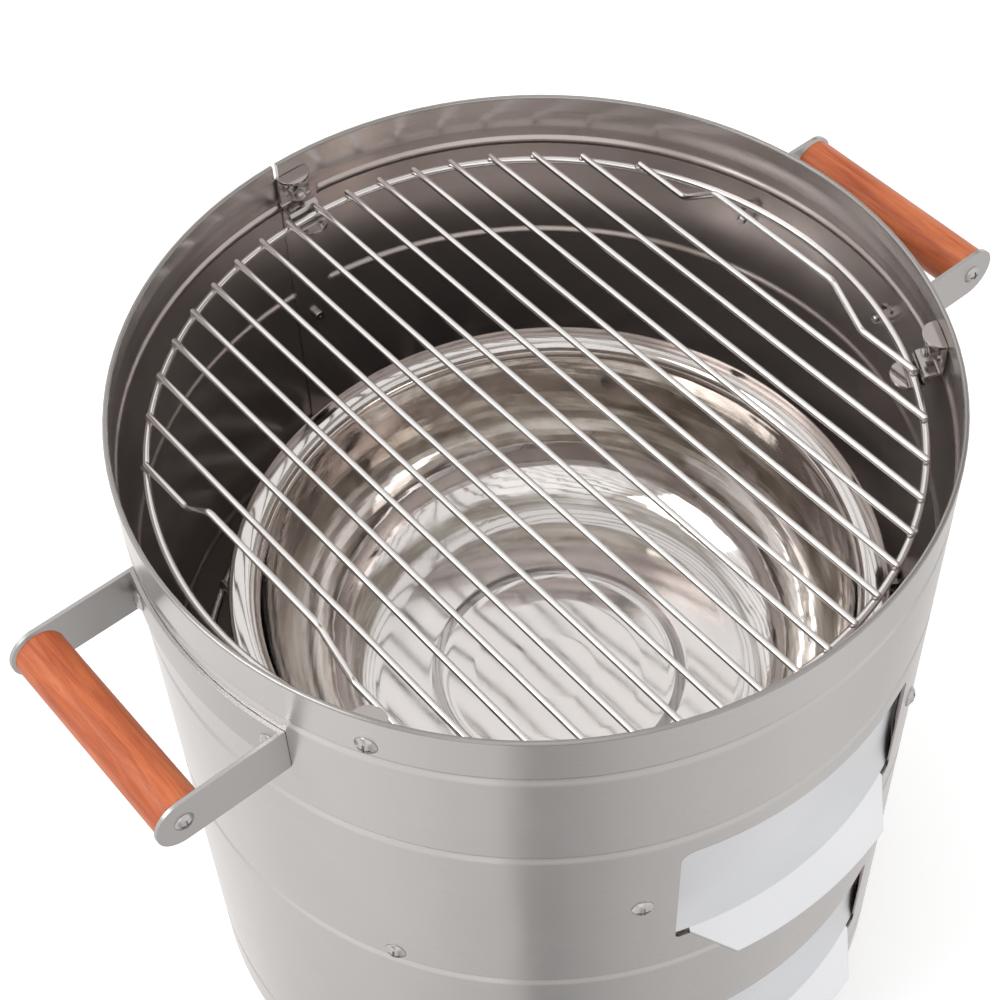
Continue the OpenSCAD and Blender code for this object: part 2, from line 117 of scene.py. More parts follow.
class Graph:
    """A node tree with short calls for its nodes."""

    def __init__(self, tree, output):
        self.tree = tree
        tree.nodes.clear()
        self.output = self.node(output)

    def node(self, kind, **settings):
        node = self.tree.nodes.new("ShaderNode" + kind)
        for key, setting in settings.items():
            setattr(node, key, setting)
        return node

    def put(self, socket, value):
        """Link a Value to an input, or set a constant there."""
        if isinstance(value, Value):
            self.tree.links.new(value.socket, socket)
        else:
            socket.default_value = value

    def add(self, kind, inputs=None, output=0, **settings):
        node = self.node(kind, **settings)
        for key, value in (inputs or {}).items():
            self.put(node.inputs[key], value)
        return Value(self, node.outputs[output])

    def finish(self, shader):
        self.put(self.output.inputs[0], shader)

    def surface(self, **inputs):
        """End in a Principled shader; underscores stand for spaces in input names."""
        named = {key.replace("_", " "): value for key, value in inputs.items()}
        self.finish(self.add("BsdfPrincipled", named))

    def place(self, output="Object"):
        return self.add("TexCoord", output=output)

    def normal(self):
        return self.add("NewGeometry", output="Normal")

    def separate(self, vector):
        node = self.node("SeparateXYZ")
        self.put(node.inputs[0], vector)
        return [Value(self, socket) for socket in node.outputs]

    def combine(self, x, y, z):
        return self.add("CombineXYZ", {0: x, 1: y, 2: z})

    def vector(self, operation, inputs, output="Vector"):
        return self.add("VectorMath", inputs, output, operation=operation)

    def noise(self, vector, scale=1.0, detail=2.0, rough=0.5, distort=0.0):
        inputs = {"Vector": vector, "Scale": scale, "Detail": detail,
                  "Roughness": rough, "Distortion": distort}
        return self.add("TexNoise", inputs, "Fac")

    def ramp(self, factor, stops):
        """Stops are (position, grey or RGB)."""
        node = self.node("ValToRGB")
        self.put(node.inputs[0], factor)
        elements = node.color_ramp.elements
        while len(elements) < len(stops):
            elements.new(0.5)
        for element, (position, colour) in zip(elements, stops):
            rgb = colour if isinstance(colour, tuple) else (colour,) * 3
            element.position = position
            element.color = (*rgb, 1)
        return Value(self, node.outputs[0])

    def mix(self, factor, first, second, data_type="RGBA", blend="MIX"):
        start, output = {"FLOAT": (2, 0), "VECTOR": (4, 1), "RGBA": (6, 2)}[data_type]
        ends = [(*end, 1) if isinstance(end, tuple) else end for end in (first, second)]
        inputs = {"Factor": factor, start: ends[0], start + 1: ends[1]}
        return self.add("Mix", inputs, output, data_type=data_type, blend_type=blend)

    def bump(self, height, strength, distance, normal=None):
        inputs = {"Strength": strength, "Distance": distance, "Height": height}
        if normal is not None:
            inputs["Normal"] = normal
        return self.add("Bump", inputs)

    def bevel(self, radius):
        return self.add("Bevel", {"Radius": radius}, samples=4)


def new_material(name):
    material = bpy.data.materials.new(name)
    material.use_nodes = True
    return material, Graph(material.node_tree, "OutputMaterial")


def radial_distance(x, y):
    return (x * x + y * y).math("SQRT")


# ---------------------------------------------------------------- materials
def bead_slope(z, azimuth, facing):
    """Slope of the pressed beads, by height on the wall."""
    steepest = BEAD_DEPTH * math.pi / BEAD_WIDTH
    bends = []
    for height in BEAD_HEIGHTS:
        across = (z - height) / BEAD_WIDTH                  # -0.5 .. 0.5 inside the bead
        inside = abs(across) < 0.5
        bends.append((across * (2 * math.pi)).math("SINE") * steepest * inside)
    slope = sum(bends[1:], bends[0])
    # the beads fade out at both sides of the lap seam
    from_seam = abs(azimuth - SEAM_AZIMUTH)
    slope = slope * from_seam.fade(between=(math.radians(2.75), math.radians(3.7)))
    # from inside the pressings stand proud and catch more light
    return slope * facing.fade(between=(-0.2, -0.1), to=(1.7, 1.0))


def drum_material():
    """Satin sheet with the grain round the drum outside, duller mill finish inside.
    The wall's normal is worked out from the place, so beads shade as smooth pressings."""
    material, graph = new_material("drum_satin_steel")
    point = graph.place()
    x, y, z = graph.separate(point)
    radius = radial_distance(x, y)
    out_x, out_y = x / radius, y / radius
    azimuth = y.math("ARCTAN2", x)
    normal_x, normal_y, _ = graph.separate(graph.normal())
    facing = normal_x * out_x + normal_y * out_y            # 1 outside, -1 inside
    side = facing.math("SIGN")
    inner = facing < -0.2

    slope = bead_slope(z, azimuth, facing)
    smooth = graph.vector("NORMALIZE", {0: graph.combine(out_x, out_y, slope * -1.0)})
    smooth = graph.vector("SCALE", {0: smooth, "Scale": side})
    upright = abs(facing) > 0.45
    off_edges = (z > EDGE_BAND) * (z < RIM_Z - EDGE_BAND)
    normal = graph.mix(upright * off_edges, graph.normal(), smooth, data_type="VECTOR")

    # grain: long round the drum, very short up it
    grain = graph.noise(graph.combine(azimuth * 3.0, z * 700.0, radius * 40.0),
                        detail=3.0, rough=0.6)
    # rolled sheet is never truly round: broad soft waves
    wave = graph.noise(graph.combine(out_x * 3.2, out_y * 3.2, z * 5.0), rough=0.4)
    smudge = graph.noise(point, scale=15.0, distort=0.2)
    fine = graph.noise(graph.combine(azimuth * 30.0, z * 60.0, radius * 40.0))

    outside = graph.mix(smudge, (0.60, 0.575, 0.565), (0.66, 0.64, 0.63))
    inside = graph.mix(smudge, (0.47, 0.410, 0.390), (0.53, 0.470, 0.450))
    # the folded hem inside is a little paler than the wall under it
    hem = z.fade(between=(RIM_Z - 0.0215, RIM_Z - 0.0205))
    inside = graph.mix(hem, inside, (0.58, 0.525, 0.505))
    streaks = grain.remap(between=(0.30, 0.70), to=(0.0, 0.22))
    outside = graph.mix(streaks, outside, (0.55, 0.53, 0.52))
    colour = graph.mix(inner, outside, inside)
    # painted shade: the rolled top edge is darkened so that it doesn't flash
    painted_top_edge_shade = z.fade(between=(RIM_Z - EDGE_BAND, RIM_Z - 0.0009))
    colour = graph.mix(painted_top_edge_shade, colour, (0.40, 0.385, 0.375))

    def roughness(between, to):
        return (smudge * 0.7 + fine * 0.3).remap(between, to)   # mostly smudges

    rough_outside = roughness(between=(0.25, 0.75), to=(0.24, 0.30))
    rough_inside = roughness(between=(0.3, 0.7), to=(0.19, 0.25))
    graph.surface(
        Base_Color=colour,
        # mill scale and dust inside scatter a little light
        Metallic=inner.remap(between=(0.0, 1.0), to=(1.0, 0.83)),
        Roughness=graph.mix(inner, rough_outside, rough_inside, data_type="FLOAT"),
        Anisotropic=inner.remap(between=(0.0, 1.0), to=(0.85, 0.45)),
        Anisotropic_Rotation=0.25,
        Normal=graph.bump(wave, strength=1.0, distance=0.0013, normal=normal),
        Tangent=graph.add("Tangent", direction_type="RADIAL", axis="Z"))
    return material


EVEN_GRAIN = (500.0, 500.0, 500.0)      # noise stretch in x, y, z
GRAIN_ALONG_X = (30.0, 2400.0, 2400.0)


def sheet_material(name, colours, rough, edge, stretch=EVEN_GRAIN, grain=0.02,
                   anisotropic=0.0, warp=0.0006):
    """Plain or lightly grained steel with rounded edges and smudges.
    edge is the rounding radius, grain the grain's height and warp the depth of soft dents."""
    material, graph = new_material(name)
    point = graph.place()
    x, y, z = graph.separate(point)
    lines = graph.noise(graph.combine(x * stretch[0], y * stretch[1], z * stretch[2]),
                        detail=3.0, rough=0.6)
    smudge = graph.noise(point, scale=24.0, distort=0.2)
    dents = graph.noise(point, scale=14.0, detail=1.0, rough=0.4)
    normal = graph.bump(dents, strength=0.5, distance=warp, normal=graph.bevel(edge))
    normal = graph.bump(lines * grain, strength=0.5, distance=0.0002, normal=normal)
    graph.surface(
        Base_Color=graph.mix(smudge, *colours),
        Metallic=1.0,
        Roughness=(smudge * 0.6 + lines * 0.4).remap(between=(0.25, 0.75), to=rough),
        Anisotropic=anisotropic,
        Normal=normal)
    return material


def wire_material():
    """Bright plated wire with soft unevenness and faint lines along Y."""
    material, graph = new_material("bright_plated_wire")
    point = graph.place()
    uneven = graph.noise(point, scale=40.0)
    fine = graph.noise(point, scale=500.0)
    drawn = [graph.separate(point)[axis] * factor
             for axis, factor in enumerate((2600.0, 20.0, 2600.0))]
    lines = graph.noise(graph.combine(*drawn))
    height = uneven * 0.7 + (fine * 0.06 + lines * 0.03)
    graph.surface(
        Base_Color=graph.mix(uneven, (0.80, 0.785, 0.78), (0.87, 0.855, 0.85)),
        Metallic=1.0,
        Roughness=uneven.remap(between=(0.3, 0.7), to=(0.14, 0.21)),
        Normal=graph.bump(height, strength=0.3, distance=0.0005))
    return material


def screw_material():
    """Plated screw: rolled thread on the shank, which always lies along the drum's radius."""
    half_pitch = 0.0004
    material, graph = new_material("screw_steel")
    point = graph.place()
    x, y, _ = graph.separate(point)
    radius = radial_distance(x, y)
    normal_x, normal_y, _ = graph.separate(graph.normal())
    facing = (normal_x * x + normal_y * y) / radius
    shank = (radius < DRUM_R - 0.0035) * (abs(facing) < 0.6)
    thread = radius.math("PINGPONG", half_pitch) * (1 / half_pitch) * shank
    smudge = graph.noise(point, scale=60.0)
    normal = graph.bump(thread, strength=1.0, distance=0.00045, normal=graph.bevel(0.00035))
    colour = graph.mix(smudge, (0.50, 0.48, 0.475), (0.60, 0.58, 0.575))
    # painted shade: the thread's valleys are darkened
    colour = graph.mix((shank - thread) * 0.8, colour, (0.12, 0.11, 0.10))
    graph.surface(
        Base_Color=colour,
        Metallic=1.0,
        Roughness=smudge.remap(between=(0.3, 0.7), to=(0.22, 0.32)),
        Normal=normal)
    return material


def bowl_material():
    """Mirror polish with faint spinning lines and a slightly uneven pressed surface, with painted
    reflections and painted shade in its colour.
    """
    material, graph = new_material("bowl_mirror_steel")
    point = graph.place()
    low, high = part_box("fire_bowl")
    x, y, z = graph.separate(point)
    from_x, from_y = x - (low.x + high.x) / 2, y - (low.y + high.y) / 2
    radius = radial_distance(from_x, from_y)
    azimuth = from_y.math("ARCTAN2", from_x)
    along = radius + z * 1.0            # grows both outwards and up the wall
    height = z - low.z

    # relief
    spin = graph.noise(graph.combine(along * 1500.0, azimuth * 1.2, 0.0), detail=3.0, rough=0.6)
    ripple = graph.noise(graph.combine(along * 210.0, azimuth * 2.2, 2.0))
    wall = radius.fade(between=(0.094, 0.118))
    broad = graph.noise(point, scale=17.0, rough=0.4, distort=0.3)
    middle = graph.noise(point, scale=60.0, distort=0.6)
    smudge = graph.noise(point, scale=42.0, detail=4.0, rough=0.6, distort=0.5)
    lines = spin * 0.012 * 1.0 + ripple * 0.16 * wall      # spin everywhere, ripple on the wall
    # the floor and the rim are truer than the wall
    uneven = wall.remap(between=(0.0, 1.0), to=(0.10, 1.0))
    uneven = uneven * radius.fade(between=(0.150, 0.154), to=(1.0, 0.15))
    normal = graph.bump(broad * uneven, strength=1.0, distance=0.0009)
    normal = graph.bump(middle * uneven, strength=1.0, distance=0.00007, normal=normal)
    normal = graph.bump(lines, strength=0.5, distance=0.0003, normal=normal)

    colour = graph.mix(smudge, (0.74, 0.71, 0.69), (0.80, 0.775, 0.76))
    # painted reflection shade: the pressed ring in the floor gets a soft grey band in its colour,
    # patchy round the bowl
    from_ring = abs(radius - 0.0655)
    round_bowl = graph.combine(azimuth.math("COSINE"), azimuth.math("SINE"), 0.7)
    blotch = graph.noise(round_bowl, scale=1.1, detail=1.0)
    grey = (from_ring.fade(between=(0.0024, 0.0031), to=(1.0, 0.0))
            * blotch.fade(between=(0.40, 0.60), to=(0.5, 0.85)))
    colour = graph.mix(grey, colour, (0.26, 0.235, 0.23))

    # painted reflection: the steep upper wall gets brownish reflected swirls in its colour, while
    # the rolled rim stays bright
    painted_reflection_band = (height.fade(between=(0.030, 0.044))
            * height.fade(between=(0.0850, 0.0868), to=(1.0, 0.0)))
    painted_reflection_swirl = graph.noise(graph.combine(azimuth * 2.4, along * 34.0, 1.0),
                        detail=3.0, rough=0.55, distort=1.2)
    painted_brownish_reflection = graph.ramp(painted_reflection_swirl, [(0.36, (0.38, 0.330, 0.29)), (0.50, (0.54, 0.50, 0.45)),
                               (0.64, (0.70, 0.66, 0.615))])
    cosine, sine = azimuth.math("COSINE"), azimuth.math("SINE")
    # painted shade in that reflection: darker at the two ends of the line through azimuths -40 and
    # 140 degrees
    sideways = abs(cosine * 0.766 - sine * 0.643)
    painted_brownish_reflection = graph.mix(sideways.fade(between=(0.45, 0.95), to=(0.0, 0.55)),
                      painted_brownish_reflection, (0.19, 0.155, 0.14))
    colour = graph.mix(painted_reflection_band * 0.9, colour, painted_brownish_reflection)

    # painted shade: a darker band where the wall turns into the floor, strongest towards azimuth
    # 50 degrees
    towards = cosine * 0.643 + sine * 0.766
    painted_knee_shade = (radius.fade(between=(0.078, 0.090))
            * height.fade(between=(0.0035, 0.0085), to=(1.0, 0.0)))
    painted_knee_shade = painted_knee_shade * towards.fade(between=(-0.2, 0.6), to=(0.0, 0.3))
    colour = graph.mix(painted_knee_shade, colour, (0.40, 0.375, 0.37))
    graph.surface(
        Base_Color=colour,
        Metallic=1.0,
        Roughness=smudge.remap(between=(0.3, 0.75), to=(0.05, 0.11)),
        Normal=normal)
    return material


def wood_material():
    """Orange-red stained hardwood, grain along the grip (Y), with open pores."""
    material, graph = new_material("stained_hardwood")
    point = graph.place()
    x, y, z = graph.separate(point)

    def grain_noise(across, along, **settings):
        return graph.noise(graph.combine(x * across, y * along, z * across), **settings)

    wobble = graph.noise(point, scale=16.0)
    figure = grain_noise(across=230.0, along=16.0, detail=5.0, rough=0.62, distort=0.7)
    fine = grain_noise(across=1500.0, along=60.0, detail=3.0, rough=0.6, distort=0.3)
    pores = grain_noise(across=1900.0, along=130.0, distort=0.5).fade(between=(0.64, 0.74))
    patch = grain_noise(across=55.0, along=22.0)
    tone = figure * 0.62 + fine * 0.22 + patch * 0.32
    colour = graph.ramp(tone, [(0.36, (0.30, 0.052, 0.014)), (0.50, (0.43, 0.088, 0.026)),
                               (0.60, (0.54, 0.128, 0.040)), (0.76, (0.68, 0.200, 0.070))])
    colour = graph.mix(pores * 0.45, colour, (0.20, 0.034, 0.012))
    # the end faces (those facing along Y) are darker
    end_face = abs(graph.separate(graph.normal())[1]).fade(between=(0.5, 0.9))
    colour = graph.mix(end_face * 0.75, colour, (0.12, 0.030, 0.014))
    normal = graph.bump(wobble, strength=0.35, distance=0.0008)
    normal = graph.bump(fine * 0.5 - pores * 1.0, strength=0.35, distance=0.00025, normal=normal)
    graph.surface(
        Base_Color=colour,
        Metallic=0.0,
        Roughness=fine.remap(between=(0.3, 0.7), to=(0.36, 0.52)),
        Specular_IOR_Level=0.42,
        Coat_Weight=0.12,
        Coat_Roughness=0.25,
        Normal=normal)
    return material


MATERIALS = {
    "drum": drum_material(),
    "clip": sheet_material(
        "clip_strip_steel", colours=((0.42, 0.385, 0.37), (0.52, 0.48, 0.465)),
        rough=(0.13, 0.22), edge=0.0005),
    "strap": sheet_material(
        "strap_flat_bar", colours=((0.50, 0.485, 0.475), (0.55, 0.535, 0.53)),
        rough=(0.32, 0.38), edge=0.0005, stretch=GRAIN_ALONG_X, grain=0.05,
        anisotropic=0.3, warp=0.0003),
    "door": sheet_material(
        "door_sheet_steel", colours=((0.80, 0.815, 0.845), (0.84, 0.855, 0.875)),
        rough=(0.27, 0.32), edge=0.0006, grain=0.01, warp=0.0003),
    "fastener": sheet_material(
        "fastener_steel", colours=((0.52, 0.50, 0.49), (0.62, 0.60, 0.59)),
        rough=(0.20, 0.30), edge=0.00035),
    "washer": sheet_material(
        "spring_steel_washer", colours=((0.46, 0.44, 0.43), (0.60, 0.58, 0.57)),
        rough=(0.16, 0.26), edge=0.00015),
    "screw": screw_material(),
    "pan": sheet_material(
        "base_sheet_steel", colours=((0.46, 0.43, 0.41), (0.56, 0.53, 0.51)),
        rough=(0.30, 0.42), edge=0.0005, stretch=GRAIN_ALONG_X, grain=0.05, anisotropic=0.4),
    "wire": wire_material(),
    "weld": sheet_material(
        "weld_nugget_steel", colours=((0.26, 0.23, 0.21), (0.50, 0.47, 0.44)),
        rough=(0.22, 0.34), edge=0.0002),
    "bowl": bowl_material(),
    "wood": wood_material(),
}
PIECE_MATERIALS = {
    "barrel_shell": "drum", "base_pan": "pan", "upper_door": "door", "lower_door": "door",
    "clip_screws": "screw", "handle_bolts": "screw", "guide_screws": "screw",
    "grip_screws_left": "screw", "grip_screws_right": "screw",
    "clip_nuts": "fastener", "handle_nuts": "fastener", "guide_nuts": "fastener",
    "seam_rivets": "fastener",
}


def material_key(name):
    """The material of a CAD piece, or None to leave it as it is."""
    if name in PIECE_MATERIALS:
        return PIECE_MATERIALS[name]
    if name.startswith("handle_grip"):
        return "wood"
    if name.startswith("handle_bracket"):
        return "strap"
    if name.endswith("star_washers"):
        return "washer"
    if "clip" in name or "guide" in name:
        return "clip"
    return None


def paint_pieces():
    for name in NODES:
        key = material_key(name)
        if key is None:
            continue
        for slot in NODES[name].material_slots:
            slot.material = MATERIALS[key]
        if key == "wood":
            # keeps the red of the wood out of the brushed steel
            NODES[name].visible_glossy = False


paint_pieces()


# ---------------------------------------------------------------- mesh helpers
def mesh_object(name, shape, material, body):
    """A smooth-shaded object from (vertices, faces)."""
    verts, faces = shape
    mesh = bpy.data.meshes.new(name)
    mesh.from_pydata([tuple(vert) for vert in verts], [], [tuple(face) for face in faces])
    mesh.materials.append(MATERIALS[material])
    mesh.validate()
    mesh.polygons.foreach_set("use_smooth", [True] * len(mesh.polygons))
    mesh.update()
    piece = bpy.data.objects.new(name, mesh)
    scene.collection.objects.link(piece)
    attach(piece, body)
    return piece


def join(shapes):
    verts, faces = [], []
    for shape_verts, shape_faces in shapes:
        base = len(verts)
        verts += list(shape_verts)
        faces += [tuple(i + base for i in face) for face in shape_faces]
    return verts, faces


# rounded wire end, tip first: (distance past the end, ring radius), both over the wire radius
DOME = ((0.72, 0.0), (0.70, 0.35), (0.60, 0.68), (0.36, 0.92))


def dome(ring, sign):
    centre, side, across, direction, radius = ring
    return [(centre + direction * sign * radius * offset, side, across, direction,
             max(radius * scale, 1e-6)) for offset, scale in DOME]


def tube(path, wire_radius, sides, closed=False):
    """Round wire along a path that starts level, its frame carried along."""
    points = [Vector(point) for point in path]
    last = len(points) - 1
    rings = []
    side = None
    for i, point in enumerate(points):
        before = points[i - 1] if closed or i > 0 else point
        after = points[(i + 1) % len(points)] if closed or i < last else point
        direction = (after - before).normalized()
        if side is None:
            side = direction.cross(Vector((0, 0, 1))).normalized()
        side = (side - direction * side.dot(direction)).normalized()
        rings.append((point, side, direction.cross(side), direction, wire_radius))
    if not closed:
        rings = dome(rings[0], -1) + rings + dome(rings[-1], 1)[::-1]

    verts, faces = [], []
    for centre, side, across, _, radius in rings:
        for k in range(sides):
            angle = 2 * math.pi * k / sides
            verts.append(centre + side * (radius * math.cos(angle))
                         + across * (radius * math.sin(angle)))
    for i in range(len(rings) if closed else len(rings) - 1):
        this, following = i * sides, (i + 1) % len(rings) * sides
        for k in range(sides):
            after = (k + 1) % sides
            faces.append((this + k, this + after, following + after, following + k))
    return verts, faces


def nugget(centre, axes, seed):
    """A squashed weld bead: an icosphere pushed about by noise."""
    ball = bmesh.new()
    bmesh.ops.create_icosphere(ball, subdivisions=2, radius=1.0)
    shift = Vector((seed * 3.1, seed * 1.7, 0))
    verts = []
    for vert in ball.verts:
        swell = 1 + 0.22 * noise.noise(vert.co * 1.7 + shift)
        verts.append(Vector(centre) + vert.co * Vector(axes) * swell
                     if False else Vector(centre)
                     + Vector([c * a for c, a in zip(vert.co, axes)]) * swell)
    faces = [tuple(vert.index for vert in face.verts) for face in ball.faces]
    ball.free()
    return verts, faces


# ---------------------------------------------------------------- grates
Grate = namedtuple("Grate", "ring_radius ring_wire ring_z bar_wire bar_z bar_xs")
END_INSET = 0.0006                      # wire centre lines stop short for the rounded ends


def read_grate(prefix, bar_count):
    """Centre-line radius, wire radii, heights and bar places of one grate, from the frame."""
    ring_low, ring_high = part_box(prefix + "_ring")
    bars_low, bars_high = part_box(prefix + "_bars")
    ring_wire = (ring_high.z - ring_low.z) / 2
    bar_wire = (bars_high.z - bars_low.z) / 2
    pitch = (bars_high.x - bars_low.x - 2 * bar_wire) / (bar_count - 1)
    return Grate(
        ring_radius=(ring_high.x - ring_low.x) / 2 - ring_wire,
        ring_wire=ring_wire,
        ring_z=(ring_low.z + ring_high.z) / 2,
        bar_wire=bar_wire,
        bar_z=(bars_low.z + bars_high.z) / 2,
        bar_xs=[(i - (bar_count - 1) / 2) * pitch for i in range(bar_count)])


def grate_ring(grate):
    """The ring, with the butt weld that closes it."""
    radius, wire, z = grate.ring_radius, grate.ring_wire, grate.ring_z
    segments = 240
    angles = [2 * math.pi * i / segments for i in range(segments)]
    path = [(radius * math.cos(angle), radius * math.sin(angle), z) for angle in angles]
    weld_angle = math.radians(-62)
    weld = nugget((radius * math.cos(weld_angle), radius * math.sin(weld_angle), z),
                  axes=(wire + 0.0006, wire + 0.0006, wire + 0.0003), seed=5)
    return join([tube(path, wire, sides=22, closed=True), weld])


def grate_bar(grate, x):
    """A nearly straight bar along Y that ends just past the ring's centre line."""
    steps = 9
    end = math.sqrt((grate.ring_radius + 0.0015) ** 2 - (abs(x) + grate.bar_wire) ** 2)
    path = []
    for k in range(steps + 1):
        t = k / steps
        sway = noise.noise(Vector((x * 31, t * 2.1, 4.0))) * 0.00025 * math.sin(math.pi * t)
        path.append((x + sway, lerp(-end + END_INSET, end - END_INSET, t), grate.bar_z))
    return tube(path, grate.bar_wire, sides=18)


def ring_welds(grate, x, axes, seed):
    """Nuggets on the ring at both ends of a wire at x."""
    y = math.sqrt(grate.ring_radius ** 2 - x * x)
    return [nugget((x, sign * y, grate.ring_z + grate.ring_wire), axes, seed + sign)
            for sign in (-1, 1)]


def make_grate(prefix, body, grate):
    ring = mesh_object(prefix + "_ring_wire", grate_ring(grate), "wire", body)
    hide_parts(prefix + "_ring")
    bars = join([grate_bar(grate, x) for x in grate.bar_xs])
    bars = mesh_object(prefix + "_bar_wires", bars, "wire", body)
    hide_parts(prefix + "_bars")
    weld_axes = (grate.bar_wire + 0.0005, grate.ring_wire * 0.75, 0.0012)
    welds = []
    for i, x in enumerate(grate.bar_xs):
        welds += ring_welds(grate, x, weld_axes, seed=i * 2)
    mesh_object(prefix + "_weld_nuggets", join(welds), "weld", body)


def round_path(corners, bend_radius, steps=7, spacing=0.012):
    """Polyline with each corner replaced by an arc and the straights filled with points."""
    corners = [Vector(corner) for corner in corners]
    bent = [corners[0]]
    for before, corner, after in zip(corners, corners[1:], corners[2:]):
        back = (before - corner).normalized()
        ahead = (after - corner).normalized()
        cut = bend_radius * math.tan((math.pi - back.angle(ahead)) / 2)
        reach = math.sqrt(bend_radius * bend_radius + cut * cut)
        centre = corner + (back + ahead).normalized() * reach
        start = corner + back * cut - centre
        end = corner + ahead * cut - centre
        for k in range(steps + 1):
            bent.append(centre + start.slerp(end, k / steps).normalized() * bend_radius)
    bent.append(corners[-1])
    path = [bent[0]]
    for point in bent[1:]:
        start = path[-1]
        pieces = max(1, int((point - start).length / spacing))
        path += [start.lerp(point, k / pieces) for k in range(1, pieces + 1)]
    return path


LIFT_FOOT_Y = 0.063                     # where the lift wire leaves the bars' level
LIFT_TOP_Y = 0.041                      # where it reaches its raised middle
LIFT_BEND_R = 0.0075


def make_lift_wire(name, sign, grate):
    """A wire along Y with a raised middle; sign is -1 on the left and 1 on the right."""
    low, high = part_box(name)
    x = (low.x + high.x) / 2
    end = (high.y - low.y) / 2 - END_INSET
    foot_z, top_z = grate.bar_z, high.z - grate.bar_wire - 0.00025
    corners = [(x, -end, foot_z), (x, -LIFT_FOOT_Y, foot_z), (x, -LIFT_TOP_Y, top_z),
               (x, LIFT_TOP_Y, top_z), (x, LIFT_FOOT_Y, foot_z), (x, end, foot_z)]
    bent = tube(round_path(corners, LIFT_BEND_R), grate.bar_wire, sides=18)
    wire = mesh_object(name + "_bent_wire", bent, "wire", "cooking_grate")
    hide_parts(name)
    welds = ring_welds(grate, x, axes=(0.0028, 0.0024, 0.0012), seed=40 + sign)
    mesh_object(name + "_weld_nuggets", join(welds), "weld", "cooking_grate")


COOKING_GRATE = read_grate("grate", bar_count=16)
make_grate("grate", "cooking_grate", COOKING_GRATE)
make_grate("lower_grate", "lower_grate", read_grate("lower_grate", bar_count=14))
make_lift_wire("grate_lift_wire_left", -1, COOKING_GRATE)
make_lift_wire("grate_lift_wire_right", 1, COOKING_GRATE)


# ---------------------------------------------------------------- fire bowl
# Sheet middle line in millimetres: (radius, height), from the centre of the floor outwards.
BOWL_FLOOR = [(0, 1.4), (20, 1.4), (45, 1.0), (60, 0.4), (62.6, 0.41), (64.0, 0.54),
              (65.5, 0.58), (67.0, 0.54), (68.4, 0.41), (72, 0.4), (96, 0.4)]
BOWL_LIP = [(151.4, 87.0), (152.1, 89.3), (153.3, 91.2), (155.2, 92.3), (157.6, 92.7),
            (160, 92.85)]
# The rolled rim, as (distance in from the outermost radius, height).
BOWL_RIM = [(2.6, 92.95), (1.5, 92.8), (0.75, 91.9), (0.5, 90.9), (1.0, 89.7), (1.9, 89.3)]
BOWL_HALF_SHEET = 0.38
BOWL_STEP = 0.35                        # spacing of points along the line
BOWL_BLUR = 0.75                        # spread of the blur that rounds the corners
BLUR_REACH = 8                          # points taken on each side
HUB_R = 0.02                            # tiny hole at the axis, closed by a cap
BOWL_SEGMENTS = 240


def bowl_outline(rim_radius):
    """Both sides of the sheet in millimetres: from the centre out inside, back underneath."""
    wall = [(97 + 54 * math.sin(math.radians(turn)), 84 - 83.6 * math.cos(math.radians(turn)))
            for turn in range(3, 91, 3)]
    rim = [(rim_radius - inset, height) for inset, height in BOWL_RIM]
    line = np.array(BOWL_FLOOR + wall + BOWL_LIP + rim, float)
    # even steps along the line, then a light blur that rounds every corner like a pressing
    travelled = np.r_[0, np.cumsum(np.hypot(*np.diff(line, axis=0).T))]
    stations = np.arange(0, travelled[-1], BOWL_STEP)
    even = np.c_[np.interp(stations, travelled, line[:, 0]),
                 np.interp(stations, travelled, line[:, 1])]
    offsets = np.arange(-BLUR_REACH, BLUR_REACH + 1) * BOWL_STEP
    kernel = np.exp(-0.5 * (offsets / BOWL_BLUR) ** 2)
    kernel /= kernel.sum()
    padded = np.r_[np.repeat(even[:1], BLUR_REACH, 0), even, np.repeat(even[-1:], BLUR_REACH, 0)]
    soft = np.c_[np.convolve(padded[:, 0], kernel, "valid"),
                 np.convolve(padded[:, 1], kernel, "valid")]
    soft[0, 0] = 0
    soft[-1] = even[-1]
    tangent = np.gradient(soft, axis=0)
    tangent /= np.hypot(tangent[:, 0], tangent[:, 1])[:, None]
    normal = np.c_[-tangent[:, 1], tangent[:, 0]]
    inner = soft + normal * BOWL_HALF_SHEET
    outer = soft - normal * BOWL_HALF_SHEET
    outer[:, 1] = np.maximum(outer[:, 1], 0.02)
    outline = np.r_[inner, outer[::-1]]
    outline[0, 0] = outline[-1, 0] = HUB_R
    return outline


def make_bowl():
    """The outline turned about the bowl's upright axis."""
    low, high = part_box("fire_bowl")
    centre_x, centre_y = (low.x + high.x) / 2, (low.y + high.y) / 2
    outline = bowl_outline(rim_radius=(high.x - low.x) / 2 * 1000)
    count = len(outline)
    verts, faces = [], []
    for i in range(BOWL_SEGMENTS):
        angle = 2 * math.pi * i / BOWL_SEGMENTS
        cosine, sine = math.cos(angle), math.sin(angle)
        for radius, height in outline:
            verts.append((centre_x + radius * cosine * 0.001, centre_y + radius * sine * 0.001,
                          low.z + height * 0.001))
    for i in range(BOWL_SEGMENTS):
        this, following = i * count, (i + 1) % BOWL_SEGMENTS * count
        for k in range(count - 1):
            faces.append((this + k, following + k, following + k + 1, this + k + 1))
    starts = [i * count for i in range(BOWL_SEGMENTS)]
    faces.append(starts[::-1])
    faces.append([start + count - 1 for start in starts])
    bowl = mesh_object("fire_bowl_pressing", (verts, faces), "bowl", "bowl")
    shell = bmesh.new()
    shell.from_mesh(bowl.data)
    bmesh.ops.recalc_face_normals(shell, faces=shell.faces)
    shell.to_mesh(bowl.data)
    shell.free()
    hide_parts("fire_bowl")


make_bowl()


